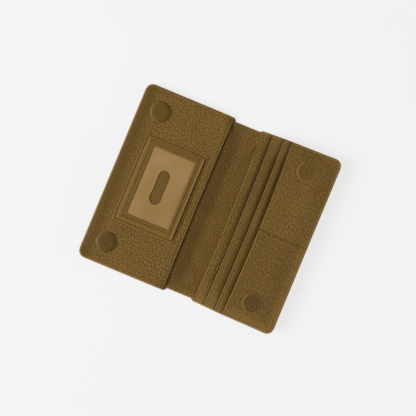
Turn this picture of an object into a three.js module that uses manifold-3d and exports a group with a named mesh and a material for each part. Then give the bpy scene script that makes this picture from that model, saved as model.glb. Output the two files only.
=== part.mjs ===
import * as THREE from 'three';
import { mergeVertices } from 'three/addons/utils/BufferGeometryUtils.js';
import Module from 'manifold-3d';

const wasm = await Module();
wasm.setup();

// Long bifold wallet, lying open on its cover. Millimetres.
// +X runs from the ID side to the card side, +Y along the length, +Z up out of the open inside.

// ---- driving dimensions ----
const openWidth = 211;
const length = 188;
const cornerRadius = 8;
const foldSpacing = 24;       // between the two fold lines, the width of the spine
const foldGap = 0.15;         // from a fold line to the leather on either side of it
const spineLength = 183;      // the spine is cut shorter than the two halves
const neckEnd = 17;           // where the card half widens out from the spine's length
const neckLength = 185.2;     // the card half's length there, growing to the full length

const coverLeather = 1.2;
const interliningThick = 0.4;
const liningLeather = 0.5;
const panelLeather = 1.0;
const stripLeather = 0.7;
const fabric = 0.25;
const glueLine = 0.05;

const edgeInset = 1.2;        // the inner panels stand in from the cover's edge by this
const wall = 1.2;             // leather wall where a panel turns down to the cover
const billGap = 4.4;          // free height of the bill pocket
const phoneGap = 8.3;         // free height of the phone pocket
const cardGap = 0.8;          // free height of a card slot: a card is 0.76

const billMouthX = -12.2;
const phoneMouthX = 20.5;
const slotMouthX = [31.5, 43.2];
const frontMouthX = 52.5;
const cardLength = 85.6;
const cardWidth = 54;
const cardPlay = 1.4;
const columnGap = 5;          // width of the seam across the middle of each row of card slots
const stripTuck = 2;          // how far a slot's leather strip runs on under the next mouth

const idPocket = { x0: -86.5, x1: -22.6, y: 47, backX1: -20.3 };
const idWindow = { x0: -74.9, x1: -30.6, y: 36.2 };
const thumbSlot = { x: -53.9, width: 12, length: 36 };
const idBackThick = 0.6;
const idFrameThick = 0.8;
const idSeam = 2.5;           // width of the sewn border round the ID pocket

const discRadius = 9;
const discPlay = 0.15;
const discY = 70.5;
const magnet = { x: -82.7, thick: 1.4, skin: 0.7 };
const keeper = { x: 75.5, thick: 1.0, skin: 0.45 };
const bumpSlope = 1.0;        // the leather round a disc spreads by this on its way down

// ---- heights of the layers ----
const coverTop = coverLeather;
const interliningZ = coverTop + glueLine;
const liningZ = interliningZ + interliningThick + glueLine;
const floorZ = liningZ + liningLeather;
const billLiningZ = floorZ + billGap;
const billPanelZ = billLiningZ + fabric + glueLine;
const billPanelTop = billPanelZ + panelLeather;
const phoneLiningZ = floorZ + phoneGap;
const phonePanelZ = phoneLiningZ + fabric + glueLine;
const phonePanelTop = phonePanelZ + panelLeather;
const idBackZ = billPanelTop + glueLine;
const idFloorZ = idBackZ + idBackThick;
const idFilmZ = idFloorZ + cardGap;
const idFrameZ = idFilmZ + fabric + glueLine;
const slotStep = cardGap + fabric + stripLeather + 2 * glueLine;
const frontLiningZ = phonePanelTop + slotMouthX.length * slotStep + cardGap;
const frontPanelZ = frontLiningZ + fabric + glueLine;

// ---- materials ----
function finish(color, roughness, metalness = 0) {
  return new THREE.MeshStandardMaterial({ color, roughness, metalness });
}
const coverFinish = () => finish(0x6e552c, 0.62);
const liningFinish = () => finish(0x66502a, 0.66);
const panelFinish = () => finish(0x6c532b, 0.6);
const stripFinish = () => finish(0x725930, 0.58);
const fabricFinish = () => finish(0x4d4026, 0.9);
const interliningFinish = () => finish(0xb9b2a0, 0.9);
const filmFinish = () => finish(0x9c7f54, 0.35);
const discFinish = () => finish(0x9a9c9f, 0.35, 1);

// ---- solids ----
function slab(shape, z0, z1) {
  const geometry = new THREE.ExtrudeGeometry(shape, { depth: z1 - z0, bevelEnabled: false, curveSegments: 8 });
  return geometry.translate(0, 0, z0);
}

function disc(x, y, z0, z1, topRadius, bottomRadius = topRadius) {
  const geometry = new THREE.CylinderGeometry(topRadius, bottomRadius, z1 - z0, 40);
  return geometry.rotateX(Math.PI / 2).translate(x, y, (z0 + z1) / 2);
}

function solid(geometry) {
  const bare = geometry.clone();
  bare.deleteAttribute('normal');
  bare.deleteAttribute('uv');
  const merged = mergeVertices(bare, 1e-4);
  return new wasm.Manifold(new wasm.Mesh({
    numProp: 3,
    vertProperties: new Float32Array(merged.attributes.position.array),
    triVerts: new Uint32Array(merged.index.array),
  }));
}

function carve(body, { join = [], cut = [] }) {
  let result = solid(body);
  for (const piece of join) result = result.add(solid(piece));
  for (const piece of cut) result = result.subtract(solid(piece));
  const mesh = result.getMesh();
  const geometry = new THREE.BufferGeometry();
  geometry.setAttribute('position', new THREE.BufferAttribute(new Float32Array(mesh.vertProperties), 3));
  geometry.setIndex(new THREE.BufferAttribute(new Uint32Array(mesh.triVerts), 1));
  return geometry;
}

// ---- outlines ----
function rectangle(x0, x1, y0, y1) {
  const shape = new THREE.Shape();
  shape.moveTo(x0, y0).lineTo(x1, y0).lineTo(x1, y1).lineTo(x0, y1).closePath();
  return shape;
}

function oblong(x, width, height) {
  const radius = width / 2;
  const reach = height / 2 - radius;
  const shape = new THREE.Shape();
  shape.absarc(x, reach, radius, 0, Math.PI);
  shape.absarc(x, -reach, radius, Math.PI, 2 * Math.PI);
  return shape.closePath();
}

// Half the wallet's length at x: the ID half is even, the card half grows from its neck.
function halfLengthAt(x) {
  if (x <= 0) return length / 2;
  const grown = (x - neckEnd) / (openWidth / 2 - cornerRadius - neckEnd);
  return THREE.MathUtils.lerp(neckLength / 2, length / 2, THREE.MathUtils.clamp(grown, 0, 1));
}

// One half's outline from the line x = from out to its rounded outer corners.
function halfOutline(from, inset, neck = false) {
  const side = Math.sign(from);
  const outer = openWidth / 2 - inset;
  const radius = cornerRadius - inset;
  const bend = side * (outer - radius);
  const halfWidth = halfLengthAt(bend) - inset;
  const lower = [];
  if (neck) {
    lower.push([from, -spineLength / 2], [neckEnd - 1, -spineLength / 2]);
    lower.push([neckEnd, -halfLengthAt(neckEnd)]);
  } else {
    lower.push([from, -halfLengthAt(from) + inset]);
  }
  const shape = new THREE.Shape();
  shape.moveTo(...lower[0]);
  for (const point of lower.slice(1)) shape.lineTo(...point);
  shape.lineTo(bend, -halfWidth);
  if (side > 0) {
    shape.absarc(bend, -halfWidth + radius, radius, -Math.PI / 2, 0, false);
    shape.absarc(bend, halfWidth - radius, radius, 0, Math.PI / 2, false);
  } else {
    shape.absarc(bend, -halfWidth + radius, radius, -Math.PI / 2, -Math.PI, true);
    shape.absarc(bend, halfWidth - radius, radius, Math.PI, Math.PI / 2, true);
  }
  for (const point of lower.reverse()) shape.lineTo(point[0], -point[1]);
  return shape.closePath();
}

// A panel sewn down on three sides: a top plate with walls to the layer below, open at its mouth.
function sewnPanel(mouth, z0, plateZ, plateTop, { join = [], cut = [] } = {}) {
  const body = slab(halfOutline(mouth, edgeInset), z0, plateTop);
  const inside = slab(halfOutline(mouth, edgeInset + wall), z0 - 1, plateZ);
  const reach = halfLengthAt(mouth) - edgeInset - wall - 0.2;
  const way = slab(rectangle(mouth - 1, mouth + 1, -reach, reach), z0 - 1, plateZ);
  return carve(body, { join, cut: [inside, way, ...cut] });
}

// The leather bump over a disc, and the recess that holds the disc from below.
function discSeat({ x, thick, skin }, plateZ) {
  const top = plateZ + thick + glueLine + skin;
  const radius = discRadius + discPlay;
  const join = [];
  const cut = [];
  for (const y of [discY, -discY]) {
    join.push(disc(x, y, plateZ + panelLeather / 2, top, radius + 0.5, radius + 0.5 + bumpSlope));
    cut.push(disc(x, y, plateZ - 1, plateZ + thick + glueLine, radius));
  }
  return { join, cut };
}

// ---- the wallet ----
const wallet = new THREE.Group();
const leftHalf = new THREE.Group();
const spine = new THREE.Group();
const rightHalf = new THREE.Group();
wallet.add(leftHalf, spine, rightHalf);

function add(group, name, geometry, material) {
  const mesh = new THREE.Mesh(geometry, material);
  mesh.name = name;
  group.add(mesh);
}

function addCover() {
  const foldX = foldSpacing / 2;
  const layers = [
    ['cover', 0, coverTop, 0, coverFinish],
    ['interlining', interliningZ, interliningZ + interliningThick, 3, interliningFinish],
    ['lining', liningZ, floorZ, edgeInset, liningFinish],
  ];
  for (const [layer, z0, z1, inset, material] of layers) {
    const neck = inset < edgeInset;
    const edge = foldX + foldGap + (layer === 'interlining' ? 2 : 0);
    const spineEdge = foldX - foldGap - (layer === 'interlining' ? 2 : 0);
    const spineHalf = spineLength / 2 - inset;
    const rightShape = halfOutline(edge, neck ? 0 : inset, neck);
    add(leftHalf, `left_${layer}`, slab(halfOutline(-edge, inset), z0, z1), material());
    add(spine, `spine_${layer}`, slab(rectangle(-spineEdge, spineEdge, -spineHalf, spineHalf), z0, z1), material());
    add(rightHalf, `right_${layer}`, slab(rightShape, z0, z1), material());
  }
}

function addBillPocket() {
  const seat = discSeat(magnet, billPanelZ);
  const z0 = floorZ + glueLine;
  const panel = sewnPanel(billMouthX, z0, billPanelZ, billPanelTop, seat);
  add(leftHalf, 'bill_pocket_panel', panel, panelFinish());
  const liner = slab(halfOutline(billMouthX - 1, edgeInset + wall + 0.3), billLiningZ, billLiningZ + fabric);
  add(leftHalf, 'bill_pocket_panel_lining', liner, fabricFinish());
}

function addIdPocket() {
  const { x0, x1, y, backX1 } = idPocket;
  const back = slab(rectangle(x0, backX1, -y, y), idBackZ, idFloorZ);
  add(leftHalf, 'id_pocket_back', back, panelFinish());

  const frameBody = slab(rectangle(x0, x1, -y, y), idFloorZ + glueLine, idFrameZ + idFrameThick);
  const hollow = slab(rectangle(x0 + idSeam, x1 + 1, -y + idSeam, y - idSeam), idFloorZ - 1, idFrameZ);
  const hole = slab(rectangle(idWindow.x0, idWindow.x1, -idWindow.y, idWindow.y), idFrameZ - 1, idFrameZ + 2);
  add(leftHalf, 'id_pocket_frame', carve(frameBody, { cut: [hollow, hole] }), stripFinish());

  const filmShape = rectangle(x0 + idSeam + 0.3, x1 - 1, -y + idSeam + 0.3, y - idSeam - 0.3);
  filmShape.holes.push(oblong(thumbSlot.x, thumbSlot.width, thumbSlot.length));
  add(leftHalf, 'id_window_film', slab(filmShape, idFilmZ, idFilmZ + fabric), filmFinish());
}

function addDiscs() {
  for (const [where, y] of [['upper', discY], ['lower', -discY]]) {
    const magnetDisc = disc(magnet.x, y, billPanelZ, billPanelZ + magnet.thick, discRadius);
    add(leftHalf, `${where}_magnet`, magnetDisc, discFinish());
    const keeperDisc = disc(keeper.x, y, frontPanelZ, frontPanelZ + keeper.thick, discRadius);
    add(rightHalf, `${where}_steel_disc`, keeperDisc, discFinish());
  }
}

function addPhonePocket() {
  const z0 = floorZ + glueLine;
  add(rightHalf, 'phone_pocket_panel', sewnPanel(phoneMouthX, z0, phonePanelZ, phonePanelTop), panelFinish());
  const liner = slab(halfOutline(phoneMouthX + 1, edgeInset + wall + 0.3), phoneLiningZ, phoneLiningZ + fabric);
  add(rightHalf, 'phone_pocket_panel_lining', liner, fabricFinish());
}

// Two stepped rows of card slots. Each row is a fabric pocket with a seam across its middle, so that it
// holds a card on each side, and a leather strip along its lip. Both run the wallet's whole length.
function addCardSlots() {
  const seamEdge = columnGap / 2;
  const roomEnd = seamEdge + cardLength + cardPlay;
  const stripEnd = halfLengthAt(slotMouthX[0]) - edgeInset - wall - 0.3;
  const nextMouth = [slotMouthX[1], frontMouthX];
  for (const [row, mouth] of slotMouthX.entries()) {
    const z = phonePanelTop + glueLine + row * slotStep;
    const plateZ = z + cardGap;
    const end = mouth + cardWidth + cardPlay;
    const pocket = slab(rectangle(mouth + 0.3, end + 0.5, -roomEnd - 0.5, roomEnd + 0.5), z, plateZ + fabric);
    const upperRoom = slab(rectangle(mouth - 1, end, seamEdge, roomEnd), z - 1, plateZ);
    const lowerRoom = slab(rectangle(mouth - 1, end, -roomEnd, -seamEdge), z - 1, plateZ);
    const pocketBody = carve(pocket, { cut: [upperRoom, lowerRoom] });
    add(rightHalf, `card_slot_${row + 1}_pocket`, pocketBody, fabricFinish());
    const stripZ = plateZ + fabric + glueLine;
    const strip = rectangle(mouth, nextMouth[row] + stripTuck, -stripEnd, stripEnd);
    add(rightHalf, `card_slot_${row + 1}_strip`, slab(strip, stripZ, stripZ + stripLeather), stripFinish());
  }
}

function addFrontPocket() {
  const seat = discSeat(keeper, frontPanelZ);
  const top = frontPanelZ + panelLeather;
  const panel = sewnPanel(frontMouthX, phonePanelTop + glueLine, frontPanelZ, top, seat);
  add(rightHalf, 'front_pocket_panel', panel, panelFinish());
  const liner = slab(halfOutline(frontMouthX + 1, edgeInset + wall + 0.3), frontLiningZ, frontLiningZ + fabric);
  add(rightHalf, 'front_pocket_lining', liner, fabricFinish());
}

addCover();
addBillPocket();
addIdPocket();
addPhonePocket();
addCardSlots();
addFrontPocket();
addDiscs();

export default wallet;
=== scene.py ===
import bpy
import math
import numpy as np
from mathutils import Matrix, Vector


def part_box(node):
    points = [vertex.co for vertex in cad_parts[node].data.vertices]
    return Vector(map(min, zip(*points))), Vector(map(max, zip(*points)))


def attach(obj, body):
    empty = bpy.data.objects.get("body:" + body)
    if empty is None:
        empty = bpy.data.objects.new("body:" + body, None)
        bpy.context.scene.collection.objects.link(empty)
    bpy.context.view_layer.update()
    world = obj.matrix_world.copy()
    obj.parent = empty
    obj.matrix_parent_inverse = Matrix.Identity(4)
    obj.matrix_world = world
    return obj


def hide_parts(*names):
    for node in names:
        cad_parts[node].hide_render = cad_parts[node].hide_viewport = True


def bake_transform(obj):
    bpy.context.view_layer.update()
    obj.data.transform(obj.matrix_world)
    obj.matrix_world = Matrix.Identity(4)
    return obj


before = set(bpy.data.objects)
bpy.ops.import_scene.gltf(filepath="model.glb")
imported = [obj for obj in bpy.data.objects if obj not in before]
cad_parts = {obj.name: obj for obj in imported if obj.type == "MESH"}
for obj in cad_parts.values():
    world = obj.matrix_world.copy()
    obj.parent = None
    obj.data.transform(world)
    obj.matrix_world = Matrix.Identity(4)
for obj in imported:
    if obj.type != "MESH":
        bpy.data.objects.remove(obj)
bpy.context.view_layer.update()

mm = 0.001


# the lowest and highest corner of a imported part, in millimetres
def corners(node):
    low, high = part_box(node)
    return [v / mm for v in low], [v / mm for v in high]


# the wallet's own measures, in millimetres
wallet = {
    "outerX": corners("right_cover")[1][0],
    "halfLength": corners("left_cover")[1][1],
    "spineHalf": corners("spine_cover")[1][1],
    "corner": 8.0,
    "foldX": corners("spine_cover")[1][0],
    "neckX": 17.0,        # the card half widens from here to its corners
    "neckHalf": 92.6,
    "valleyThin": 0.7,    # the valley's ends stand in by this much more
    "inset": 1.2,         # the inner panels stand in from the cover's rim
    "seam": 3.3,          # the stitches stand in from the cover's rim
}

# the height of each layer's upper face where nothing presses it down
heights = {
    "cover": corners("left_cover")[1][2],
    "board": corners("left_interlining")[1][2],
    "lining": corners("left_lining")[1][2],
    "billPanel": 7.9,
    "idBack": corners("id_pocket_back")[1][2],
    "film": corners("id_window_film")[1][2],
    "idFrame": corners("id_pocket_frame")[1][2],
    "phonePanel": 11.8,
    "strip1": corners("card_slot_1_strip")[1][2],
    "strip2": corners("card_slot_2_strip")[1][2],
    "frontPanel": 17.6,
}

mouths = {
    "billPanel": corners("bill_pocket_panel")[1][0],
    "phonePanel": corners("phone_pocket_panel")[0][0],
    "strip1": corners("card_slot_1_strip")[0][0],
    "strip2": corners("card_slot_2_strip")[0][0],
    "frontPanel": corners("front_pocket_panel")[0][0],
}


# an sRGB hex colour as the linear values that the shaders take
def fromHex(code):
    def toLinear(c):
        return c / 12.92 if c <= 0.04045 else ((c + 0.055) / 1.055) ** 2.4
    return tuple(toLinear(int(code[i:i + 2], 16) / 255) for i in (1, 3, 5)) + (1.0,)


def addNode(tree, kind, settings=None, links=None, stops=None):
    node = tree.nodes.new(kind)
    for key, value in (settings or {}).items():
        if isinstance(key, int) or key in node.inputs:
            node.inputs[key].default_value = value
        else:
            setattr(node, key, value)
    for key, source in (links or {}).items():
        tree.links.new(source, node.inputs[key])
    for number, (place, colour) in enumerate(stops or []):
        ramp = node.color_ramp.elements
        stop = ramp[number] if number < len(ramp) else ramp.new(place)
        stop.position = place
        stop.color = fromHex(colour)
    return node


def startMaterial(name, settings, bends=True):
    material = bpy.data.materials.new(name)
    material.use_nodes = True
    tree = material.node_tree
    tree.nodes.clear()
    shader = addNode(tree, "ShaderNodeBsdfPrincipled", settings)
    addNode(tree, "ShaderNodeOutputMaterial", links={"Surface": shader.outputs["BSDF"]})
    # patterns are laid out by where each point lies in the flat sheet, so they stay put when it bends
    if bends:
        place = addNode(tree, "ShaderNodeAttribute", {"attribute_name": "flat"}).outputs["Vector"]
    else:
        place = addNode(tree, "ShaderNodeTexCoord").outputs["Object"]
    return material, tree, shader, place


# Cowhide, drum dyed and milled until its grain rises in soft pebbles, with a satin aniline finish.
# The eye gets rounded pebbles that catch the light and shallow creases between them. Painted shade darkens
# the leather where it is pulled smooth and in creases and gaps; rims are paler from wear and from painted
# highlights.
milledHide = {
    "pebble": 2.4,        # mm across a pebble
    "pore": 0.8,          # mm, the fine creases on a pebble
    "patch": 24.0,        # mm, slow changes of dye
    "valley": "#624818",
    "body": "#725621",
    "crest": "#775A25",
    "smoothShade": "#59410F",  # painted shade where it is pulled smooth, for the glints it lacks
    # pale rims from wear, and painted highlight on lit edges and disc flanks
    "worn": "#8C6A31",
    "paintedShade": "#2C1C02",   # painted shade in creases, grooves and gaps; also darkens the panels over the discs
    "roughness": 0.6,
    "relief": 0.52,        # mm from crease to crest
}


def milledLeather(name, stretch=(1.0, 1.0, 1.0), **changes):
    look = {**milledHide, **changes}
    material, tree, shader, place = startMaterial(name, {"IOR": 1.5, "Specular IOR Level": 0.2})
    inMm = addNode(tree, "ShaderNodeMapping", {"Scale": tuple(1 / mm / s for s in stretch)},
                   {"Vector": place}).outputs["Vector"]
    # a slow wander bends the rows of pebbles
    wander = addNode(tree, "ShaderNodeTexNoise", {"Scale": 1 / 15, "Detail": 1.0}, {"Vector": inMm})
    bent = addNode(tree, "ShaderNodeVectorMath", {"operation": "MULTIPLY_ADD", 1: (7.0, 7.0, 0.0)},
                   {0: wander.outputs["Color"], 2: inMm}).outputs["Vector"]
    domes = addNode(tree, "ShaderNodeTexVoronoi", {
        "voronoi_dimensions": "2D", "feature": "SMOOTH_F1", "Scale": 1 / look["pebble"], "Smoothness": 0.3,
        "Randomness": 0.75}, {"Vector": bent})
    dome = addNode(tree, "ShaderNodeMapRange", {"From Min": 0.7, "From Max": 0.1, "To Max": 0.6},
                   {"Value": domes.outputs["Distance"]})
    clefts = addNode(tree, "ShaderNodeTexVoronoi", {
        "voronoi_dimensions": "2D", "feature": "DISTANCE_TO_EDGE", "Scale": 1 / look["pebble"],
        "Randomness": 0.75}, {"Vector": bent})
    cleft = addNode(tree, "ShaderNodeMapRange", {"interpolation_type": "SMOOTHSTEP", "From Max": 0.36},
                    {"Value": clefts.outputs["Distance"]})
    swell = addNode(tree, "ShaderNodeTexNoise", {"Scale": 0.6 / look["pebble"], "Detail": 2.0},
                    {"Vector": inMm})
    pores = addNode(tree, "ShaderNodeTexNoise", {"Scale": 1 / look["pore"], "Detail": 2.0, "Roughness": 0.55},
                    {"Vector": inMm})
    # creases run deep in some places and fade out in others
    depth = addNode(tree, "ShaderNodeMapRange", {
        "From Min": 0.35, "From Max": 0.65, "To Min": 0.25, "To Max": 0.55}, {"Value": swell.outputs["Fac"]})
    creased = addNode(tree, "ShaderNodeMath", {"operation": "MULTIPLY_ADD"},
                      {0: cleft.outputs["Result"], 1: depth.outputs["Result"], 2: dome.outputs["Result"]})
    swollen = addNode(tree, "ShaderNodeMath", {"operation": "MULTIPLY_ADD", 1: 0.12},
                      {0: swell.outputs["Fac"], 2: creased.outputs["Value"]})
    height = addNode(tree, "ShaderNodeMath", {"operation": "MULTIPLY_ADD", 1: 0.07},
                     {0: pores.outputs["Fac"], 2: swollen.outputs["Value"]}).outputs["Value"]
    tone = addNode(tree, "ShaderNodeMapRange", {"From Min": 0.35, "From Max": 1.1}, {"Value": height})
    dyed = addNode(tree, "ShaderNodeValToRGB", links={"Fac": tone.outputs["Result"]},
                   stops=[(0.0, look["valley"]), (1.0, look["crest"]), (0.5, look["body"])])
    patches = addNode(tree, "ShaderNodeTexNoise", {"Scale": 1 / look["patch"], "Detail": 2.0},
                      {"Vector": inMm})
    shade = addNode(tree, "ShaderNodeMapRange", {
        "From Min": 0.3, "From Max": 0.7, "To Min": 0.93, "To Max": 1.07}, {"Value": patches.outputs["Fac"]})
    toned = addNode(tree, "ShaderNodeVectorMath", {"operation": "SCALE"},
                    {0: dyed.outputs["Color"], "Scale": shade.outputs["Result"]})
    wear = addNode(tree, "ShaderNodeAttribute", {"attribute_name": "wear"}).outputs["Fac"]
    taut = addNode(tree, "ShaderNodeAttribute", {"attribute_name": "taut"}).outputs["Fac"]
    crease = addNode(tree, "ShaderNodeAttribute", {"attribute_name": "crease"}).outputs["Fac"]
    # painted shade: where taut, the colour darkens towards the smooth colour, for the glints that smooth
    # leather lacks
    shadedWhereSmooth = addNode(tree, "ShaderNodeMix", {"data_type": "RGBA", 7: fromHex(look["smoothShade"])},
                     {0: taut, 6: toned.outputs["Vector"]})
    # wear and painted highlight: this attribute pales the colour on rubbed rims and on lit edges and disc
    # flanks
    paledByWearAndHighlight = addNode(tree, "ShaderNodeMix", {"data_type": "RGBA", 7: fromHex(look["worn"])},
                     {0: wear, 6: shadedWhereSmooth.outputs[2]})
    # painted shade: the crease attribute darkens the colour towards a near-black brown in creases, grooves
    # and gaps
    shadedInCreases = addNode(tree, "ShaderNodeMix", {"data_type": "RGBA", 7: fromHex(look["paintedShade"])},
                        {0: crease, 6: paledByWearAndHighlight.outputs[2]})
    tree.links.new(shadedInCreases.outputs[2], shader.inputs["Base Color"])
    polish = addNode(tree, "ShaderNodeMapRange", {"To Min": look["roughness"] + 0.1,
                                                  "To Max": look["roughness"] - 0.06},
                     {"Value": tone.outputs["Result"]})
    sleek = addNode(tree, "ShaderNodeMath", {"operation": "MULTIPLY_ADD", 1: -0.04},
                    {0: taut, 2: polish.outputs["Result"]})
    tree.links.new(sleek.outputs["Value"], shader.inputs["Roughness"])
    flat = addNode(tree, "ShaderNodeMath", {"operation": "MAXIMUM"}, {0: wear, 1: taut})
    calm = addNode(tree, "ShaderNodeMapRange", {"To Min": 1.0, "To Max": 0.2},
                   {"Value": flat.outputs["Value"]})
    bump = addNode(tree, "ShaderNodeBump", {"Distance": look["relief"] * mm},
                   {"Height": height, "Strength": calm.outputs["Result"]})
    tree.links.new(bump.outputs["Normal"], shader.inputs["Normal"])
    return material


coverHide = milledLeather("milledCowhideCover", worn="#8F6B34")
panelHide = milledLeather("milledCowhidePanel", stretch=(1.0, 1.35, 1.0))
cardHide = milledLeather("milledCowhideLongGrain", stretch=(1.0, 2.4, 1.0), pebble=1.8, body="#6F531E",
                         crest="#745722")
stripHide = milledLeather("skivedCowhideStrip", stretch=(1.0, 1.8, 1.0), pebble=1.7, relief=0.2,
                          valley="#5E4516", body="#6A4F1D", crest="#735724")
liningHide = milledLeather("milledCowhideLining", body="#6E5220", crest="#735622", relief=0.4)
idHide = milledLeather("skivedCowhideFrame", pebble=1.8, relief=0.24)
print("leathers ready")


# Vinyl, calendered and frosted: a milky satin skin that takes the tan of the hide under it.
def frostedVinyl():
    material, tree, shader, place = startMaterial("frostedVinylFilm", {
        "Roughness": 0.42, "IOR": 1.53, "Specular IOR Level": 0.35, "Coat Weight": 0.1,
        "Coat Roughness": 0.35})
    haze = addNode(tree, "ShaderNodeTexNoise", {"Scale": 1 / mm / 40, "Detail": 2.0}, {"Vector": place})
    colour = addNode(tree, "ShaderNodeValToRGB", links={"Fac": haze.outputs["Fac"]},
                     stops=[(0.3, "#8A6B3A"), (0.7, "#967746")])
    tree.links.new(colour.outputs["Color"], shader.inputs["Base Color"])
    frost = addNode(tree, "ShaderNodeTexNoise", {"Scale": 1 / mm / 0.6, "Detail": 2.0}, {"Vector": place})
    bump = addNode(tree, "ShaderNodeBump", {"Distance": 0.02 * mm, "Strength": 0.5},
                   {"Height": frost.outputs["Fac"]})
    tree.links.new(bump.outputs["Normal"], shader.inputs["Normal"])
    return material


# Cotton, woven in a twill: fine slanting ribs, dull all over.
def cottonTwill():
    material, tree, shader, place = startMaterial("wovenCottonTwill", {
        "Roughness": 0.9, "IOR": 1.5, "Specular IOR Level": 0.2, "Sheen Weight": 0.2})
    turned = addNode(tree, "ShaderNodeMapping", {"Rotation": (0, 0, math.radians(63))}, {"Vector": place})
    # a band of the wave texture is 0.314 of its unit, so this draws ribs 0.8 mm apart
    ribs = addNode(tree, "ShaderNodeTexWave", {"Scale": 0.314 / mm / 0.8, "Distortion": 0.6},
                   {"Vector": turned.outputs["Vector"]})
    colour = addNode(tree, "ShaderNodeValToRGB", links={"Fac": ribs.outputs["Fac"]},
                     stops=[(0.1, "#3A2F1B"), (0.9, "#57492D")])
    tree.links.new(colour.outputs["Color"], shader.inputs["Base Color"])
    bump = addNode(tree, "ShaderNodeBump", {"Distance": 0.08 * mm, "Strength": 0.7},
                   {"Height": ribs.outputs["Fac"]})
    tree.links.new(bump.outputs["Normal"], shader.inputs["Normal"])
    return material


# Polyester thread, twisted and bonded: a tight cord a shade off the hide, with a faint shine.
def bondedThread():
    material, tree, shader, place = startMaterial("twistedBondedThread", {
        "Roughness": 0.5, "IOR": 1.5, "Specular IOR Level": 0.4, "Sheen Weight": 0.1})
    fibres = addNode(tree, "ShaderNodeTexNoise", {"Scale": 1 / mm / 0.4, "Detail": 2.0},
                     {"Vector": place})
    colour = addNode(tree, "ShaderNodeValToRGB", links={"Fac": fibres.outputs["Fac"]},
                     stops=[(0.3, "#69501F"), (0.7, "#86672F")])
    tree.links.new(colour.outputs["Color"], shader.inputs["Base Color"])
    return material


# Leather board, pressed from fibre: a pale felt-like sheet with flecks.
def pressedBoard():
    material, tree, shader, place = startMaterial("pressedLeatherBoard", {"Roughness": 0.9, "IOR": 1.5})
    flecks = addNode(tree, "ShaderNodeTexNoise", {"Scale": 1 / mm / 1.5, "Detail": 4.0}, {"Vector": place})
    colour = addNode(tree, "ShaderNodeValToRGB", links={"Fac": flecks.outputs["Fac"]},
                     stops=[(0.3, "#A59C86"), (0.7, "#C7BFAC")])
    tree.links.new(colour.outputs["Color"], shader.inputs["Base Color"])
    return material


# Steel, nickel plated: a mirror dulled by fine handling marks.
def nickelPlate():
    material, tree, shader, place = startMaterial("nickelPlatedSteel", {"Metallic": 1.0}, bends=False)
    marks = addNode(tree, "ShaderNodeTexNoise", {"Scale": 1 / mm / 3, "Detail": 5.0}, {"Vector": place})
    colour = addNode(tree, "ShaderNodeValToRGB", links={"Fac": marks.outputs["Fac"]},
                     stops=[(0.3, "#9FA0A1"), (0.7, "#BEBEBC")])
    tree.links.new(colour.outputs["Color"], shader.inputs["Base Color"])
    rough = addNode(tree, "ShaderNodeMapRange", {"To Min": 0.22, "To Max": 0.38},
                    {"Value": marks.outputs["Fac"]})
    tree.links.new(rough.outputs["Result"], shader.inputs["Roughness"])
    return material


filmVinyl = frostedVinyl()
twill = cottonTwill()
thread = bondedThread()
board = pressedBoard()
nickel = nickelPlate()
print("film, twill, thread, board and steel ready")


# the shapes that the layers share are functions of place, in millimetres
def ease(t):
    t = np.clip(t, 0.0, 1.0)
    return t * t * (3 - 2 * t)


def mixed(a, b, t):
    return a + (b - a) * t


def groove(distance, width):
    return np.exp(-(distance / width) ** 2)


def halfLengthAt(x):
    away = np.abs(x)
    grown = np.clip((away - wallet["neckX"]) / (wallet["outerX"] - wallet["corner"] - wallet["neckX"]), 0, 1)
    cardSide = mixed(wallet["neckHalf"], wallet["halfLength"], grown)
    valleyHalf = wallet["spineHalf"] - wallet["valleyThin"]
    cardSide = mixed(valleyHalf, cardSide, ease((away - wallet["neckX"] - 0.9) / 2.0))
    idSide = mixed(valleyHalf, wallet["halfLength"], ease((away - wallet["foldX"] + 2.5) / 2.5))
    return np.where(x > 0, cardSide, idSide)


def reach(x, inset=0.0):
    radius = wallet["corner"] - inset
    past = np.clip(np.abs(x) - (wallet["outerX"] - wallet["corner"]), 0, radius)
    return halfLengthAt(x) - inset - radius + np.sqrt(np.maximum(radius ** 2 - past ** 2, 0))


def rimDistance(x, y):
    toSide = wallet["outerX"] - np.abs(x)
    toEnd = halfLengthAt(x) - np.abs(y)
    corner = wallet["corner"]
    rounded = corner - np.hypot(corner - toSide, corner - toEnd)
    return np.where((toSide < corner) & (toEnd < corner), rounded, np.minimum(toSide, toEnd))


# a soft uneven surface between about -1 and 1; stretch makes it longer along the wallet
def waves(x, y, length, seed, stretch=1.0):
    draw = np.random.default_rng(seed)
    total = 0.0
    for _ in range(10):
        angle, phase = draw.uniform(0, math.tau, 2)
        size = length * draw.uniform(0.7, 1.7)
        along = x * math.cos(angle) + y / stretch * math.sin(angle)
        total = total + np.sin(math.tau * along / size + phase)
    return total / 5.0


# positions from mark to mark: (start, step), (start, step), ..., end
def stations(*marks):
    places = []
    for (start, step), after in zip(marks, marks[1:]):
        end = after[0] if isinstance(after, tuple) else after
        count = max(1, round(abs(end - start) / step))
        places.extend(start + (end - start) * np.arange(count) / count)
    return np.array(places + [marks[-1]])


# how far the cover's outside rises off the table towards its rims
curl = {"idSide": 3.8, "idWidth": 18.0, "cardSide": 10.4, "cardWidth": 34.0,
        "cardEnds": 9.6, "cardEndsWidth": 26.0, "valleyEnds": 0.5}


def sideCurl(x):
    return np.where(x > 0, curl["cardSide"], curl["idSide"])


def endCurl(x):
    cardEnds = curl["valleyEnds"] + curl["cardEnds"] * ease((x - 14) / 40)
    idEnds = curl["valleyEnds"] + (curl["idSide"] - curl["valleyEnds"]) * ease((-x - 8) / 14)
    return np.where(x > 0, cardEnds, idEnds)


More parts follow.
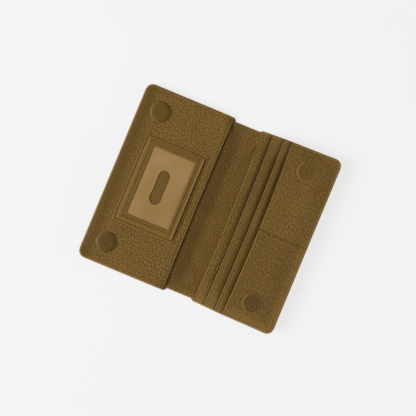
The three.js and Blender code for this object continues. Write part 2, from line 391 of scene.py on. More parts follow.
def lift(x, y):
    toSide = wallet["outerX"] - np.abs(x)
    toEnd = halfLengthAt(x) - np.abs(y)
    sideWidth = np.where(x > 0, curl["cardWidth"], curl["idWidth"])
    endWidth = np.where(x > 0, curl["cardEndsWidth"], curl["idWidth"])
    sidePart = sideCurl(x) * (1 - ease((toSide - 3) / sideWidth))
    endPart = endCurl(x) * (1 - ease((toEnd - 3) / endWidth))
    return (sidePart ** 4 + endPart ** 4) ** (1 / 4)


# how far the nearest stretch of rim is lifted
def rimLift(x, y):
    toSide = 1 / (wallet["outerX"] - np.abs(x) + 2) ** 2
    toEnd = 1 / (np.maximum(halfLengthAt(x) - np.abs(y), 0) + 2) ** 2
    nearest = (sideCurl(x) * toSide + endCurl(x) * toEnd) / (toSide + toEnd)
    return np.maximum(nearest, lift(x, y))


# 0 at a sewn border and 1 where a pocket stands at its full height
def fullness(x, y):
    toSide = wallet["outerX"] - np.abs(x)
    toEnd = halfLengthAt(x) - np.abs(y)
    overSide = np.where(x > 0, 16.0, 10.5)
    overEnd = np.where(x > 0, mixed(28.0, 10.0, ease((x - 50) / 14)), 10.5)
    return ease((toSide - 2.5) / overSide) * ease((toEnd - 2.5) / overEnd)


# the turned-in edge that every pocket mouth has: a rolled rim, then a crease, then the end of the fold
def mouthHem(fromMouth, width=6.5):
    rolled = -0.35 * np.clip(1 - fromMouth / 1.1, 0, 1) ** 2
    crease = -0.26 * groove(fromMouth - 1.7, 0.5)
    folded = 0.16 * (1 - ease((fromMouth - width + 1) / 1.6))
    return rolled + crease + folded


def discBump(x, y, raised, dome=0.0):
    away = discDistance(x, y)
    moat = -0.2 * groove(away - 11.3, 0.9)
    return dome * (1 - ease((away - 6.0) / 3.3)) + raised * (1 - ease((away - 8.9) / 1.7)) + moat


discs = {
    "y": (corners("upper_magnet")[0][1] + corners("upper_magnet")[1][1]) / 2,
    "magnetX": (corners("upper_magnet")[0][0] + corners("upper_magnet")[1][0]) / 2,
    "steelX": (corners("upper_steel_disc")[0][0] + corners("upper_steel_disc")[1][0]) / 2,
}


def hemThickness(x, y):
    return mixed(2.6, heights["cover"], ease((rimDistance(x, y) - 6.5) / 2.5))


def coverUnder(x, y):
    seam = 0.25 * groove(rimDistance(x, y) - wallet["seam"], 0.6)
    return lift(x, y) + seam


# the valley's floor creases where the pockets' ends hold it, in a fan from each of two corners
creaseCorner = {"x": 24, "y": 93}


def valleyCreases(x, y):
    inValley = ease((x + 13) / 5) * ease((24 - x) / 6)
    total = 0.0
    for sign, phase, high in ((1, 0.4, 0.65), (-1, 2.1, 0.2)):
        fromCorner = np.hypot(x - creaseCorner["x"], y * sign - creaseCorner["y"])
        turn = np.arctan2(creaseCorner["y"] - y * sign, creaseCorner["x"] - x)
        faded = ease((fromCorner - 4) / 8) * ease((46 - fromCorner) / 26)
        fan = np.sin(turn * 10 + phase + 0.06 * fromCorner) * faded
        total = total + np.maximum(fan, 0) * (y * sign > 0) * high
    soft = 0.5 + 0.5 * waves(x, y, 16, 5, stretch=2.4)
    return inValley * (total + 0.3 * soft)


def liningTop(x, y):
    toRim = rimDistance(x, y)
    onHem = mixed(3.1, heights["lining"], ease((toRim - 6.0) / 4.5))
    hump = 3.3 * ease((x + 40) / 12) * (1 - ease((x + 12.5) / 17)) * ease((toRim - 4) / 14)
    valleySeam = hump - 0.2 * groove(toRim - wallet["seam"], 0.6)
    return lift(x, y) + onHem + valleySeam + valleyCreases(x, y) * ease((toRim - 3) / 6)


def discDistance(x, y):
    return np.hypot(x - np.where(x > 0, discs["steelX"], discs["magnetX"]), np.abs(y) - discs["y"])


# 1 on the side of a disc that faces right and -1 on the side that faces left
def discFacing(x, y):
    centre = np.where(x > 0, discs["steelX"], discs["magnetX"])
    return (x - centre) / np.maximum(discDistance(x, y), 1.0)


# how far each pocket's upper face stands above the cover's outside at its sewn rim
rims = {
    "panel": 4.1,
    "strip1": 4.85,
    "strip2": 5.6,
    "frontPanel": 6.4,
    "frontPanelOuter": 5.2,    # at the outer side
}


def pocketTop(x, y, edge, full, seed):
    risen = fullness(x, y)
    top = mixed(rimLift(x, y) + edge, full, risen)
    slack = (0.5 - 0.5 * waves(x, y, 44, seed, stretch=1.5)) * ease((discDistance(x, y) - 9) / 8)
    return top - 0.35 * slack * risen - 0.28 * groove(rimDistance(x, y) - wallet["seam"], 0.6)


def billTop(x, y):
    top = pocketTop(x, y, rims["panel"], heights["billPanel"], 11)
    hem = mouthHem(mouths["billPanel"] - x)
    return top + hem + discBump(x, y, 1.05, dome=0.5)


# the leather dips where it passes under the next mouth
def dipUnder(x, y, nextMouth, deep):
    return -deep * ease((x - mouths[nextMouth] - bow(nextMouth, y) + 5.5) / 5.5)


def phoneTop(x, y):
    plain = pocketTop(x, y, rims["panel"], heights["phonePanel"], 12)
    return plain + mouthHem(x - mouths["phonePanel"] - bow("phonePanel", y)) + dipUnder(x, y, "strip1", 0.7)


def stripTop(name, nextMouth, seed):
    def top(x, y):
        middle = -0.3 * groove(y, 1.3)
        plain = pocketTop(x, y, rims[name], heights[name], seed)
        hem = mouthHem(x - mouths[name] - bow(name, y))
        return plain + hem + middle + dipUnder(x, y, nextMouth, 0.9 * fullness(x, y) + 0.1)
    return top


strip1Top = stripTop("strip1", "strip2", 12)
strip2Top = stripTop("strip2", "frontPanel", 12)


# the front pocket's rim is higher near its mouth, where the strips end under it, than on the outer side
def frontTop(x, y):
    edge = mixed(rims["frontPanel"], rims["frontPanelOuter"], ease((x - 62) / 14))
    top = pocketTop(x, y, edge, heights["frontPanel"], 14)
    hem = mouthHem(x - mouths["frontPanel"] - bow("frontPanel", y))
    middle = -0.85 * groove(y, 1.5) * ease((wallet["outerX"] - x - 2) / 4)
    sink = -0.6 * groove(y, 9.0) * ease((wallet["outerX"] - x - 8) / 20)
    ridge = 0.22 * groove(discDistance(x, y) - 8.9, 0.6)
    return top + hem + middle + sink + ridge + discBump(x, y, 0.5)


# pocket mouths bow a little: how far each stands in from its straight line, upper end, middle, lower end
bows = {
    "phonePanel": (-0.8, 0.9, 0.1),
    "strip1": (-0.6, 0.6, 0.0),
    "strip2": (-0.8, 0.6, -0.2),
    "frontPanel": (-1.7, 0.9, -0.7),
    "billPanel": (0.2, -0.3, 0.1),
}


def bow(name, y):
    upper, middle, lower = bows[name]
    t = np.clip(y / 90, -1, 1)
    return middle + (upper - lower) / 2 * t + ((upper + lower) / 2 - middle) * t ** 2


# the four-sided faces between the points of a grid
def quads(grid):
    return np.stack([grid[:-1, :-1], grid[1:, :-1], grid[1:, 1:], grid[:-1, 1:]], axis=-1).reshape(-1, 4)


# A closed sheet between two grids of points, with half-round edges. With wrap the grid runs round a hole,
# its first column on the outside. An edge that lies on the plane x = cutAt is left flat.
def closeSheet(upper, lower, wrap=False, cutAt=None, wearNear=1.3, wearMost=0.35):
    rows, columns = upper.shape[:2]
    over = np.arange(rows * columns).reshape(rows, columns)
    if wrap:
        ringed = np.vstack([over, over[:1]])
        loops = [over[:, 0], over[::-1, -1]]
    else:
        ringed = over
        loops = [np.concatenate([over[:-1, 0], over[-1, :-1], over[:0:-1, -1], over[0, :0:-1]])]
    count = rows * columns
    points = [upper.reshape(-1, 3), lower.reshape(-1, 3)]
    faces = [quads(ringed), quads(ringed)[:, ::-1] + count]
    wear = [np.zeros(count), np.zeros(count)]
    used = 2 * count
    toRim = np.full(count, 1e9)
    for loop in loops:
        high, low = points[0][loop], points[1][loop]
        middle, half = (high + low) / 2, (high - low) / 2
        along = np.roll(middle, -1, axis=0) - np.roll(middle, 1, axis=0)
        outwards = np.cross(along, half)
        outwards /= np.maximum(np.linalg.norm(outwards, axis=1, keepdims=True), 1e-9)
        size = np.linalg.norm(half, axis=1, keepdims=True)
        cut = np.zeros(len(loop), bool)
        if cutAt is not None:
            cut = np.abs(middle[:, 0] - cutAt) < 1e-6
            outwards[cut] = 0
            ends = cut & (np.abs(middle[:, 1]) > np.abs(middle[cut, 1]).max() - 1e-6)
            outwards[ends, 1] = np.sign(middle[ends, 1])
        rings = [loop]
        for angle in (45, 90, 135):
            turn = math.radians(angle)
            points.append(middle + half * math.cos(turn) + outwards * size * math.sin(turn))
            wear.append(np.where(cut, 0.0, wearMost))
            rings.append(used + np.arange(len(loop)))
            used += len(loop)
        rings.append(loop + count)
        for above, below in zip(rings, rings[1:]):
            faces.append(np.stack([above, below, np.roll(below, -1), np.roll(above, -1)], axis=-1))
        keep = high[~cut]
        for start in range(0, len(keep), 60):
            near = keep[start:start + 60]
            apartX = points[0][:, None, 0] - near[None, :, 0]
            apartY = points[0][:, None, 1] - near[None, :, 1]
            apart = np.hypot(apartX, apartY)
            toRim = np.minimum(toRim, apart.min(axis=1))
    wear[0] = wear[1] = wearMost * (1 - ease(toRim / wearNear))
    return np.concatenate(points), np.concatenate(faces), np.concatenate(wear)


# each point keeps its place in the flat sheet, for the patterns
def keepFlatPlaces(mesh):
    places = np.empty(len(mesh.vertices) * 3, np.float32)
    mesh.vertices.foreach_get("co", places)
    mesh.attributes.new("flat", "FLOAT_VECTOR", "POINT").data.foreach_set("vector", places)


# Paint gives attributes for the leather, each as a function of place: taut is 1 where it is pulled smooth
# under painted shade, crease is 1 where painted shade darkens creases and gaps, and the one for wear and
# highlight is 1 where it is rubbed pale or a highlight is painted.
def makePiece(name, parts, material, slot, **paint):
    points, faces, wear, used = [], [], [], 0
    for part in parts:
        points.append(part[0])
        faces.append(part[1] + used)
        wear.append(part[2])
        used += len(part[0])
    mesh = bpy.data.meshes.new(name)
    mesh.from_pydata((np.concatenate(points) * mm).tolist(), [], np.concatenate(faces).tolist())
    shades = {"wear": np.concatenate(wear)}
    for key, painter in paint.items():
        shades[key] = np.maximum(shades.get(key, 0.0), painter(*np.concatenate(points)[:, :2].T))
    for key, values in shades.items():
        mesh.attributes.new(key, "FLOAT", "POINT").data.foreach_set("value", values.astype(np.float32))
    keepFlatPlaces(mesh)
    mesh.polygons.foreach_set("use_smooth", [True] * len(mesh.polygons))
    mesh.set_sharp_from_angle(angle=math.radians(58))
    mesh.update()
    piece = bpy.data.objects.new(name, mesh)
    bpy.context.scene.collection.objects.link(piece)
    mesh.materials.append(material)
    return piece


# A layer of the wallet over the places xs, with its rows spread between its two ends.
# shift moves the places near the first or last of xs, for a mouth that bows.
def layerGrid(xs, rows, inset, mouth=None, bowed=None):
    x, v = np.meshgrid(xs, rows / rows.max(), indexing="ij")
    y = v * reach(x, inset)
    if bowed:
        x = x + bow(bowed, y) * np.clip(1 - np.abs(x - mouth) / 14, 0, 1)
    return x, y


def layerOf(x, y, top, thick, fromBelow=False, **options):
    z = top(x, y)
    depth = thick(x, y) if callable(thick) else thick
    upper, lower = (z + depth, z) if fromBelow else (z, z - depth)
    return closeSheet(np.stack([x, y, upper], axis=-1), np.stack([x, y, lower], axis=-1), **options)


# Rows of points along the wallet, which layerGrid stretches to the outline: closer at the ends, over the
# discs and by the middle seam.
rowEnd = 94
discRows = stations((-rowEnd, 0.7), (-86, 1.3), (-83, 0.62), (-58, 1.5), (-4, 0.5), (4, 1.5), (58, 0.62),
                    (83, 1.3), (86, 0.7), rowEnd)
slotRows = stations((-rowEnd, 0.7), (-86, 1.6), (-3, 0.6), (3, 1.6), (86, 0.7), rowEnd)
plainRows = stations((-rowEnd, 0.8), (-84, 2.2), (84, 0.8), rowEnd)
coarseRows = stations((-rowEnd, 1.5), (-84, 3.5), (84, 1.5), rowEnd)
liningRows = stations((-rowEnd, 0.7), (-50, 1.2), (50, 0.7), rowEnd)


def bendAtFold(piece, sign):
    if sign < 0:
        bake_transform(piece)
    else:
        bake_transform(piece)


def addCover():
    for side, sign, nodes in (("Left", -1, ["left_cover", "spine_cover"]), ("Right", 1, ["right_cover"])):
        xs = np.sort(sign * stations((0, 1.5), (8, 0.9), (20, 2.2), (95, 0.8), wallet["outerX"] - 1.3))
        x, y = layerGrid(xs, plainRows, 1.3)
        sheet = layerOf(x, y, coverUnder, hemThickness, fromBelow=True, cutAt=0.0, wearNear=1.6,
                        wearMost=0.85)
        piece = makePiece(f"cover{side}", [sheet], coverHide, "cover_leather")
        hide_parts(*nodes)
        bendAtFold(piece, sign)


boards = {"inset": 9.5, "thick": 0.4}    # the boards stop short of the cover's turned-in hem


def addBoards():
    for node, body in (("left_interlining", "left_half"), ("spine_interlining", "spine"),
                       ("right_interlining", "right_half")):
        low, high = corners(node)
        start = max(low[0], -wallet["outerX"] + boards["inset"])
        end = min(high[0], wallet["outerX"] - boards["inset"])
        xs = np.linspace(start, end, max(3, int((end - start) / 4)))
        x, v = np.meshgrid(xs, np.linspace(-1, 1, 50), indexing="ij")
        y = v * (reach(x) - boards["inset"])
        sheet = layerOf(x, y, lambda x, y: lift(x, y) + heights["board"], boards["thick"], wearNear=0.1)
        piece = makePiece(node.replace("_interlining", "Board"), [sheet], board, "interlining_board")
        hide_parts(node)
        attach(piece, body)


# painted shade on the lining, in the bill pocket's shadow: darkest at the fold next to the left half, along
# the wallet's whole length
def liningShade(x, y):
    return 0.27 * (1 - ease((x + 9) / 22))


def addLining():
    for side, sign, nodes in (("Left", -1, ["left_lining", "spine_lining"]), ("Right", 1, ["right_lining"])):
        xs = np.sort(sign * stations((0, 0.7), (26, 2.5), (97, 1.0), wallet["outerX"] - 1.5))
        x, y = layerGrid(xs, liningRows, 1.5)
        sheet = layerOf(x, y, liningTop, 0.45, cutAt=0.0, wearNear=0.8)
        piece = makePiece(f"lining{side}", [sheet], liningHide, "lining_leather", crease=liningShade)
        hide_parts(*nodes)
        bendAtFold(piece, sign)


addCover()
addBoards()
addLining()
print("cover, boards and lining built")


# the panels are pulled smooth over the discs and along the outer border of the left half; there the grain is
# calmer and painted shade darkens them
def pulledSmooth(x, y):
    overDisc = np.where(x > 0, 0.45, 0.8) * (1 - ease((discDistance(x, y) - 9.6) / 1.6))
    border = 0.9 * (1 - ease((wallet["outerX"] + x - 8) / 12)) * (x < 0)
    return np.maximum(overDisc, border)


# painted shade in the crease behind each mouth's hem, in the middle seam's groove, in the seam by the rim and
# in the moat round each disc, darker on a left-half disc's right side, away from the light; the panels are
# also darker over the discs, more on the lower ones, and over the lower half of the card side
def panelCreases(x, y):
    fromCardMouth = np.abs(x - mouths["frontPanel"] - bow("frontPanel", y))
    fromMouth = np.minimum(np.abs(x - mouths["billPanel"]), fromCardMouth)
    mouthCrease = 0.28 * groove(fromMouth - 1.8, 0.6)
    middleSeam = 0.36 * groove(y, 1.1) * (x > mouths["frontPanel"])
    shaded = np.where(x < 0, 0.12 + 0.4 * np.clip(discFacing(x, y), 0, 1), 0.1)
    moat = shaded * groove(discDistance(x, y) - 10.5, 0.8)
    overDisc = 1 - ease((discDistance(x, y) - 8.4) / 1.5)
    discDarkening = np.where(y < 0, 0.3, np.where(x < 0, 0.1, 0.08)) * overDisc
    seam = 0.15 * groove(rimDistance(x, y) - wallet["seam"], 0.7)
    lower = 0.08 * ease(-y / 10) * ease((rimDistance(x, y) - 6) / 8) * (x > 0)
    return np.clip(mouthCrease + middleSeam + moat + discDarkening + seam + lower, 0, 1)


# the rims of the front pocket are rubbed pale, and so is the ring over each disc on the card half. Painted
# highlight lies on the left-facing flank of each disc on the left half and along the front pocket's mouth,
# strongest at its lower end; a paler band runs along the lower part of the card half's border
def panelRubsAndHighlights(x, y):
    card = x > 0
    paledByWearAndHighlight = np.where(card, 0.45 + 0.45 * discFacing(x, y) ** 2, 0.5 * np.clip(-discFacing(x, y), 0, 1))
    ring = paledByWearAndHighlight * groove(discDistance(x, y) - 9.5, np.where(card, 0.5, 0.8))
    strength = mixed(0.95, 0.4, ease(y / 60 + 0.5))
    mouth = strength * groove(x - mouths["frontPanel"] - bow("frontPanel", y) - 0.5, 0.6) * card
    border = 0.34 * (1 - ease((rimDistance(x, y) - 2) / 11)) * ease((30 - y) / 40) * card
    rim = 0.85 * (1 - ease((rimDistance(x, y) - 1.4) / 1.1)) * card
    return np.maximum(np.maximum(ring, mouth), np.maximum(border, rim))


# painted shade in the crease behind a mouth's hem and in the gap under the next mouth, wider towards the
# upper end
def underMouth(mouthName, nextMouth):
    def creases(x, y):
        hem = 0.25 * groove(x - mouths[mouthName] - bow(mouthName, y) - 1.8, 0.6)
        toNext = mouths[nextMouth] + bow(nextMouth, y) - x
        gap = mixed(2.4, 4.4, ease(y / 50 + 0.5))
        return np.clip(hem + 0.8 * (1 - ease((toNext - 0.3) / gap)), 0, 1)
    return creases


def panelThickness(x, y):
    borderThin = mixed(0.72, 0.95, ease((rimDistance(x, y) - 4) / 3))
    return borderThin - np.where(x > 0, 0.52, 0.55) * (1 - ease((discDistance(x, y) - 9.6) / 1.2))


def addPanel(name, node, body, mouthName, top, hide, sign, discX, creases):
    mouth = mouths[mouthName] + sign * 0.45
    outer = sign * (wallet["outerX"] - wallet["inset"] - 0.4)
    marks = [(mouth, 0.4), (mouth + sign * 3.2, 0.55), (mouth + sign * 9, 1.4)]
    if discX:
        marks += [(discX - sign * 12.5, 0.62), (discX + sign * 12.5, 1.0)]
    xs = np.sort(stations(*marks, (outer - sign * 6, 0.7), outer))
    x, y = layerGrid(xs, discRows if discX else slotRows, wallet["inset"] + 0.4, mouth, mouthName)
    sheet = layerOf(x, y, top, panelThickness)
    piece = makePiece(name, [sheet], hide, "panel_leather", taut=pulledSmooth, crease=creases, wear=panelRubsAndHighlights)
    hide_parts(node)
    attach(piece, body)


def addPanelLining(name, node, body, mouthName, top, sign):
    start = mouths[mouthName] + sign * 1.6
    end = sign * (wallet["outerX"] - 3.4)
    xs = np.sort(stations((start, 1.5), (start + sign * 9, 3.0), (end - sign * 14, 1.5), end))
    x, y = layerGrid(xs, coarseRows, 3.4, start, mouthName)

    def below(x, y):
        underDisc = np.where(x > 0, 1.5, 1.6) * (1 - ease((discDistance(x, y) - 9.2) / 2.0))
        return top(x, y) - panelThickness(x, y) - 0.04 - underDisc
    sheet = layerOf(x, y, below, 0.22, wearNear=0.1)
    piece = makePiece(name, [sheet], twill, "lining_fabric")
    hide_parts(node)
    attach(piece, body)


panels = (
    ("billPocket", "bill_pocket_panel", "bill_pocket_panel_lining", "left_half", "billPanel", billTop,
     panelHide, -1, discs["magnetX"], panelCreases),
    ("phonePocket", "phone_pocket_panel", "phone_pocket_panel_lining", "right_half", "phonePanel", phoneTop,
     cardHide, 1, None, underMouth("phonePanel", "strip1")),
    ("frontPocket", "front_pocket_panel", "front_pocket_lining", "right_half", "frontPanel", frontTop,
     cardHide, 1, discs["steelX"], panelCreases),
)
for name, node, liningNode, body, mouthName, top, hide, sign, discX, creases in panels:
    addPanel(f"{name}Panel", node, body, mouthName, top, hide, sign, discX, creases)
    addPanelLining(f"{name}Lining", liningNode, body, mouthName, top, sign)
print("pocket panels built")


def addCardRow(number, top, nextMouth):
    name = f"strip{number}"
    mouth = mouths[name] + 0.3
    under = mouths[nextMouth] + 2
    xs = stations((mouth, 0.35), (mouth + 2.8, 0.6), under)
    x, y = layerGrid(xs, slotRows, wallet["inset"] + 0.5, mouth, name)
    sheet = layerOf(x, y, top, 0.6)
    strip = makePiece(f"cardSlot{number}Strip", [sheet], stripHide, "strip_leather",
                      crease=underMouth(name, nextMouth))
    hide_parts(f"card_slot_{number}_strip")
    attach(strip, "right_half")
    # the twill pocket hangs from the strip: a back sheet and a front sheet, sewn together round three sides
    high = corners(f"card_slot_{number}_pocket")[1]
    xs = stations((mouths[name] + 1.4, 1.2), (mouths[name] + 8, 3.0), high[0] - 1)
    x, v = np.meshgrid(xs, np.linspace(-1, 1, 60), indexing="ij")
    y = v * (high[1] - 1.5)
    front = layerOf(x, y, lambda x, y: top(x, y) - 0.65, 0.2, wearNear=0.1)
    back = layerOf(x, y, lambda x, y: top(x, y) - 1.35, 0.2, wearNear=0.1)
    pocket = makePiece(f"cardSlot{number}Pocket", [front, back], twill, "lining_fabric")
    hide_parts(f"card_slot_{number}_pocket")
    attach(pocket, "right_half")


addCardRow(1, strip1Top, "strip2")
addCardRow(2, strip2Top, "frontPanel")
print("card slots built")


# the ID pocket on the left half, in millimetres
idPocket = {
    "x0": corners("id_pocket_back")[0][0],
    "backX1": corners("id_pocket_back")[1][0],
    "mouthX": corners("id_pocket_frame")[1][0],
    "y": corners("id_pocket_back")[1][1],
    "windowX0": -74.9,
    "windowX1": -30.6,
    "windowY": 36.2,
    "step": 2.0,          # the frame stands in from the back by this on its sewn sides
    "slotX": -53.9,
    "slotHalfWidth": 6.0,
    "slotHalfLength": 18.0,
}


def fromIdSides(x, y):
    return np.minimum(x - idPocket["x0"], idPocket["y"] - np.abs(y))


def idBackTop(x, y):
    flat = heights["idBack"] - 0.1 * (0.5 + 0.5 * waves(x, y, 30, 21))
    channel = -0.35 * groove(fromIdSides(x, y) - idPocket["step"] + 0.2, 0.5)
    return flat + channel


def fromWindow(x, y):
    outX = np.maximum(idPocket["windowX0"] - x, x - idPocket["windowX1"])
    outY = np.abs(y) - idPocket["windowY"]
    return np.maximum(outX, outY)


def idFrameTop(x, y):
    inFrame = fromIdSides(x, y) - idPocket["step"]
    risen = ease(inFrame / 4.5)
    top = mixed(heights["idBack"] + 0.62, heights["idFrame"], risen)
    crease = -0.32 * groove(fromWindow(x, y) - 3.3, 0.6)
    toWindow = -0.2 * (1 - ease(fromWindow(x, y) / 1.6))
    seam = -0.16 * groove(inFrame - 0.9, 0.35)
    fromMouth = idPocket["mouthX"] - x
    bead = 0.6 * groove(fromMouth - 1.2, 0.8) - 0.55 * (1 - ease((fromMouth - 1.8) / 5))
    return top + crease + toWindow + seam + bead - 0.08 * (0.5 + 0.5 * waves(x, y, 22, 22))


# painted shade in the channel inside the back's sewn edge, in the crease round the window, as a shadow just
# past the mouth's bead, and on the back inside the window under the film
def idCreases(x, y):
    channel = 0.5 * groove(fromIdSides(x, y) - idPocket["step"] + 0.1, 0.6)
    ring = 0.3 * groove(fromWindow(x, y) - 3.3, 0.5)
    besideMouth = 0.6 * (1 - ease(np.abs(x - idPocket["mouthX"] - 0.6) / 1.1))
    inFrame = fromIdSides(x, y) > idPocket["step"] + 0.2
    shaded = 0.17 * (fromWindow(x, y) < -4)
    pastMouth = besideMouth * (x > idPocket["mouthX"] - 0.5) * inFrame
    return np.clip(channel + shaded + ring * inFrame + pastMouth, 0, 1)


# painted highlight on the left-facing bead at the ID pocket's mouth, and a paler line just inside the sewn
# sides
def idBeadHighlightAndPaleLine(x, y):
    bead = 0.6 * groove(idPocket["mouthX"] - x - 1.3, 0.9)
    sewn = 0.22 * groove(fromIdSides(x, y) - idPocket["step"] - 1.7, 0.7)
    return np.maximum(bead, sewn) * (fromIdSides(x, y) > idPocket["step"])


def filmTop(x, y):
    slack = 0.5 - 0.5 * waves(x, y, 30, 23, stretch=1.3)
    return heights["film"] - 0.04 - 0.3 * slack * ease(-fromWindow(x, y) / 14)


# points round a rectangle, anticlockwise from its lower right corner, with count points on each side
def aroundRectangle(x0, x1, y0, y1, counts):
    corner = [(x1, y0), (x1, y1), (x0, y1), (x0, y0)]
    points = []
    for k, count in enumerate(counts):
        (ax, ay), (bx, by) = corner[k], corner[(k + 1) % 4]
        t = np.arange(count)[:, None] / count
        points.append(np.array([[ax, ay]]) * (1 - t) + np.array([[bx, by]]) * t)
    return np.concatenate(points)


def aroundWindow(past, counts):
    return aroundRectangle(idPocket["windowX0"] - past, idPocket["windowX1"] + past,
                           -idPocket["windowY"] - past, idPocket["windowY"] + past, counts)


def ringSheet(outer, inner, across, top, thick, **options):
    t = across[None, :, None]
    flat = outer[:, None, :] * (1 - t) + inner[:, None, :] * t
    x, y = flat[..., 0], flat[..., 1]
    z = top(x, y)
    upper, lower = np.stack([x, y, z], axis=-1), np.stack([x, y, z - thick], axis=-1)
    return closeSheet(upper, lower, wrap=True, **options)


def addIdPocket():
    x0, y1 = idPocket["x0"] + 0.3, idPocket["y"] - 0.3
    xs = stations((x0, 0.35), (x0 + 4, 2.0), (idPocket["backX1"] - 5, 0.8), idPocket["backX1"] - 0.3)
    ys = stations((-y1, 0.35), (-y1 + 4, 2.0), (y1 - 4, 0.35), y1)
    x, y = np.meshgrid(xs, ys, indexing="ij")
    back = makePiece("idPocketBack", [layerOf(x, y, idBackTop, 0.55, wearMost=0.6)], idHide, "panel_leather",
                     crease=idCreases)
    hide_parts("id_pocket_back")

    counts = (118, 66, 118, 66)
    step = idPocket["step"] + 0.35
    outer = aroundRectangle(idPocket["x0"] + step, idPocket["mouthX"] - 0.35, step - idPocket["y"],
                            idPocket["y"] - step, counts)
    inner = aroundWindow(0.3, counts)
    rim = ringSheet(outer, inner, np.linspace(0, 1, 32), idFrameTop, 0.7, wearMost=0.15)
    frameLeather = makePiece("idPocketFrame", [rim], idHide, "panel_leather", crease=idCreases,
                             wear=idBeadHighlightAndPaleLine)
    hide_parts("id_pocket_frame")

    # the film's slot is cut a little unevenly near its lower end
    film = aroundWindow(2.4, counts)
    facing = np.arctan2(film[:, 1] / 38.6, (film[:, 0] - idPocket["slotX"]) / 24.5)
    straight = idPocket["slotHalfLength"] - idPocket["slotHalfWidth"]
    slot = np.array([slotPoint(a, straight) for a in facing])
    sheet = ringSheet(film, slot, np.linspace(0, 1, 22) ** 0.8, filmTop, 0.3, wearNear=0.3)
    window = makePiece("idWindowFilm", [sheet], filmVinyl, "window_film")
    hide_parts("id_window_film")
    for piece in (back, frameLeather, window):
        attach(piece, "left_half")


# the oblong slot's edge, walked evenly as the angle goes round
def slotPoint(angle, straight):
    radius = idPocket["slotHalfWidth"]
    quarter = straight + radius * math.pi / 2
    whole = 4 * quarter
    s = (angle / math.tau * whole) % whole
    part, s = int(s // quarter), s % quarter
    if part % 2:
        s = quarter - s
    if s < straight:
        x, y = radius, s
    else:
        turn = (s - straight) / radius
        x, y = radius * math.cos(turn), straight + radius * math.sin(turn)
    x, y = (x if part in (0, 3) else -x), (y if part in (0, 1) else -y)
    bulge = 0.8 * math.exp(-((x + radius) / 3.0) ** 2 - ((y + 10) / 3.0) ** 2)
    return idPocket["slotX"] + x - bulge, y


addIdPocket()
print("ID pocket built")


# one stitch, in millimetres: each is a short cord with rounded ends
stitch = {"pitch": 3.2, "length": 2.35, "footing": 1.1, "radius": 0.27, "sides": 6}


def evenly(path, pitch):
    steps = np.linalg.norm(np.diff(path, axis=0), axis=1)
    along = np.concatenate([[0], np.cumsum(steps)])
    places = np.arange(pitch / 2, along[-1], pitch)
    return np.stack([np.interp(places, along, path[:, k]) for k in range(2)], axis=-1)


def stitches(path, surface, sink=0.06):
    # each stitch lies along the path, at the surface's height a footing to either side of its middle
    middles = evenly(path, stitch["pitch"])
    before = evenly(path, stitch["pitch"] / 8)
    parts = []
    rings = np.array([-1.0, -0.93, -0.6, 0.6, 0.93, 1.0])
    girth = np.array([0.12, 0.62, 1.0, 1.0, 0.62, 0.12])
    sides = stitch["sides"]
    around = np.arange(sides) / sides * math.tau
    index = np.arange(len(rings) * sides).reshape(len(rings), sides)
    wrapped = np.hstack([index, index[:, :1]])
    side = quads(wrapped)
    caps = [index[0][::-1], index[-1]]
    for middle in middles:
        nearest = np.argmin(np.hypot(*(before - middle).T))
        lowIndex, highIndex = max(nearest - 2, 0), min(nearest + 2, len(before) - 1)
        direction = before[highIndex] - before[lowIndex]
        direction = direction / np.linalg.norm(direction)
        ends = [middle - direction * stitch["footing"], middle + direction * stitch["footing"]]
        zs = [float(surface(np.array(e[0]), np.array(e[1]))) for e in ends]
        start, end = np.array([*ends[0], zs[0]]), np.array([*ends[1], zs[1]])
        forward = (end - start) / np.linalg.norm(end - start)
        across = np.cross(forward, (0, 0, 1.0))
        across /= np.linalg.norm(across)
        upright = np.cross(across, forward)
        centre = (start + end) / 2 + upright * (-sink)
        rows = centre + forward * (rings * stitch["length"] / 2)[:, None]
        circle = across * np.cos(around)[:, None] + upright * np.sin(around)[:, None]
        points = rows[:, None, :] + circle[None, :, :] * (girth * stitch["radius"])[:, None, None]
        parts.append((points.reshape(-1, 3), side, caps))
    return parts


def makeThread(name, parts, body=None, foldSide=None):
    points = np.concatenate([part[0] for part in parts])
    faces, used = [], 0
    for part in parts:
        faces.extend((part[1] + used).tolist())
        faces.extend((np.array(cap) + used).tolist() for cap in part[2])
        used += len(part[0])
    mesh = bpy.data.meshes.new(name)
    mesh.from_pydata((points * mm).tolist(), [], faces)
    mesh.polygons.foreach_set("use_smooth", [True] * len(mesh.polygons))
    keepFlatPlaces(mesh)
    mesh.update()
    piece = bpy.data.objects.new(name, mesh)
    bpy.context.scene.collection.objects.link(piece)
    mesh.materials.append(thread)
    if body:
        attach(piece, body)
    else:
        bendAtFold(piece, foldSide)


def rimPath(sign, inset):
    xs = stations((0.8, 0.7), wallet["outerX"] - wallet["corner"]).tolist()
    turned = np.linspace(0, math.pi / 2, 14)[1:]
    radius = wallet["corner"] - inset
    corner = wallet["outerX"] - wallet["corner"] + radius * np.sin(turned)
    xs = np.array(xs + corner.tolist())
    upper = np.stack([sign * xs, reach(sign * xs, inset)], axis=-1)
    lower = upper[::-1] * (1, -1)
    return np.concatenate([upper, lower])


def insideTop(x, y):
    choices = [(mouths["frontPanel"], frontTop), (mouths["strip2"], strip2Top), (mouths["strip1"], strip1Top),
               (mouths["phonePanel"], phoneTop)]
    for mouth, top in choices:
        if x > mouth + 0.5:
            return top(x, y)
    return billTop(x, y) if x < mouths["billPanel"] - 0.5 else liningTop(x, y)


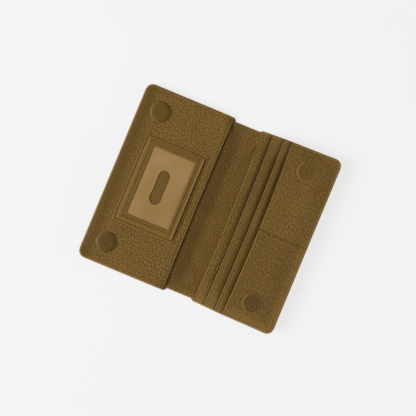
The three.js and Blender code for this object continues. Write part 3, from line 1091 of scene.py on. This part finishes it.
def addThread():
    for side, sign in (("Left", -1), ("Right", 1)):
        path = rimPath(sign, wallet["seam"])
        parts = stitches(path, insideTop) + stitches(path, coverUnder, sink=-0.06)
        makeThread(f"rimThread{side}", parts, foldSide=sign)
    inset = idPocket["step"] + 0.95
    x0, x1, y1 = idPocket["x0"] + inset, idPocket["mouthX"] - 1.5, idPocket["y"] - inset
    idSeam = np.array([(x1, y1), (x0, y1), (x0, -y1), (x1, -y1)])
    makeThread("idPocketThread", stitches(idSeam, idFrameTop), body="left_half")
    rows = stitches(np.array([(mouths["frontPanel"] + 3, 0), (wallet["outerX"] - 5, 0)]), frontTop)
    for name, top, after in (("strip1", strip1Top, "strip2"), ("strip2", strip2Top, "frontPanel")):
        rows += stitches(np.array([(mouths[name] + 1.5, 0), (mouths[after] - 0.3, 0)]), top)
    makeThread("middleSeamThread", rows, body="right_half")


addThread()
print("thread built")


# the discs keep their CAD meshes and take the plating alone
for name in ("upper_magnet", "lower_magnet", "upper_steel_disc", "lower_steel_disc"):
    steel = bpy.data.objects[name]
    steel.data.materials.clear()
    steel.data.materials.append(nickel)
print("steel plated")


# the floor, the light and the camera, in metres, with the lens in millimetres
studio = {
    "turn": math.radians(22.6),    # the wallet lies turned this far on the table
    "height": 0.992,
    "lens": 85.0,
    "centre": (-0.00165, -0.0002),
    # each softbox: degrees round from the right of the view, metres out and up, metres wide, watts
    "key": (184, 2.0, 1.75, 1.4, 82.0),
    "fill": (-8, 1.9, 0.5, 1.0, 12.0),
    "wall": 0.86,                   # the brightness of the wall near the table, then overhead
    "sky": 0.28,
    "glow": 0.75,                   # the light table's own light, which keeps its shadows faint
}


def addStudio():
    scene = bpy.context.scene
    floor = bpy.data.meshes.new("floor")
    half = 3.0
    floorCorners = [(-half, -half, 0), (half, -half, 0), (half, half, 0), (-half, half, 0)]
    floor.from_pydata(floorCorners, [], [(0, 1, 2, 3)])
    keepFlatPlaces(floor)
    floorPiece = bpy.data.objects.new("floor", floor)
    floorPiece.location.z = -0.0001
    scene.collection.objects.link(floorPiece)
    # opal acrylic, cast and sanded: the pale top of a light table, lit from below so that shadows stay faint
    material, tree, shader, place = startMaterial("sandedOpalAcrylic", {
        "Roughness": 0.9, "Specular IOR Level": 0.0, "Emission Strength": studio["glow"],
        "Emission Color": fromHex("#FFFFFF")})
    mottle = addNode(tree, "ShaderNodeTexNoise", {"Scale": 6.0, "Detail": 1.0}, {"Vector": place})
    colour = addNode(tree, "ShaderNodeValToRGB", links={"Fac": mottle.outputs["Fac"]},
                     stops=[(0.3, "#656566"), (0.7, "#676768")])
    tree.links.new(colour.outputs["Color"], shader.inputs["Base Color"])
    floor.materials.append(material)

    world = bpy.data.worlds.new("studio")
    world.use_nodes = True
    # a pale sweep of wall near the table, dimmer overhead
    sky = world.node_tree
    around = addNode(sky, "ShaderNodeTexCoord").outputs["Generated"]
    towards = addNode(sky, "ShaderNodeSeparateXYZ", links={0: around})
    wall = addNode(sky, "ShaderNodeMapRange", {
        "interpolation_type": "SMOOTHSTEP", "From Min": 0.04, "From Max": 0.4, "To Min": studio["wall"],
        "To Max": studio["sky"]}, {"Value": towards.outputs["Z"]})
    sky.links.new(wall.outputs["Result"], sky.nodes["Background"].inputs["Strength"])
    sky.nodes["Background"].inputs["Color"].default_value = fromHex("#FFFFFF")
    scene.world = world

    for lampName in ("key", "fill"):
        angle, out, up, size, power = studio[lampName]
        lamp = bpy.data.lights.new(lampName, "AREA")
        lamp.shape = "SQUARE"
        lamp.size = size
        lamp.energy = power
        softbox = bpy.data.objects.new(lampName, lamp)
        across = studio["turn"] + math.radians(angle)
        softbox.location = (out * math.cos(across), out * math.sin(across), up)
        softbox.rotation_euler = (-Vector(softbox.location)).to_track_quat("-Z", "Y").to_euler()
        scene.collection.objects.link(softbox)

    lens = bpy.data.cameras.new("camera")
    lens.lens = studio["lens"]
    lens.sensor_width = 36.0
    camera = bpy.data.objects.new("camera", lens)
    camera.location = (*studio["centre"], studio["height"])
    camera.rotation_euler = (0, 0, studio["turn"])
    scene.collection.objects.link(camera)
    scene.camera = camera
    scene.view_settings.view_transform = "Standard"


addStudio()
print("studio ready")
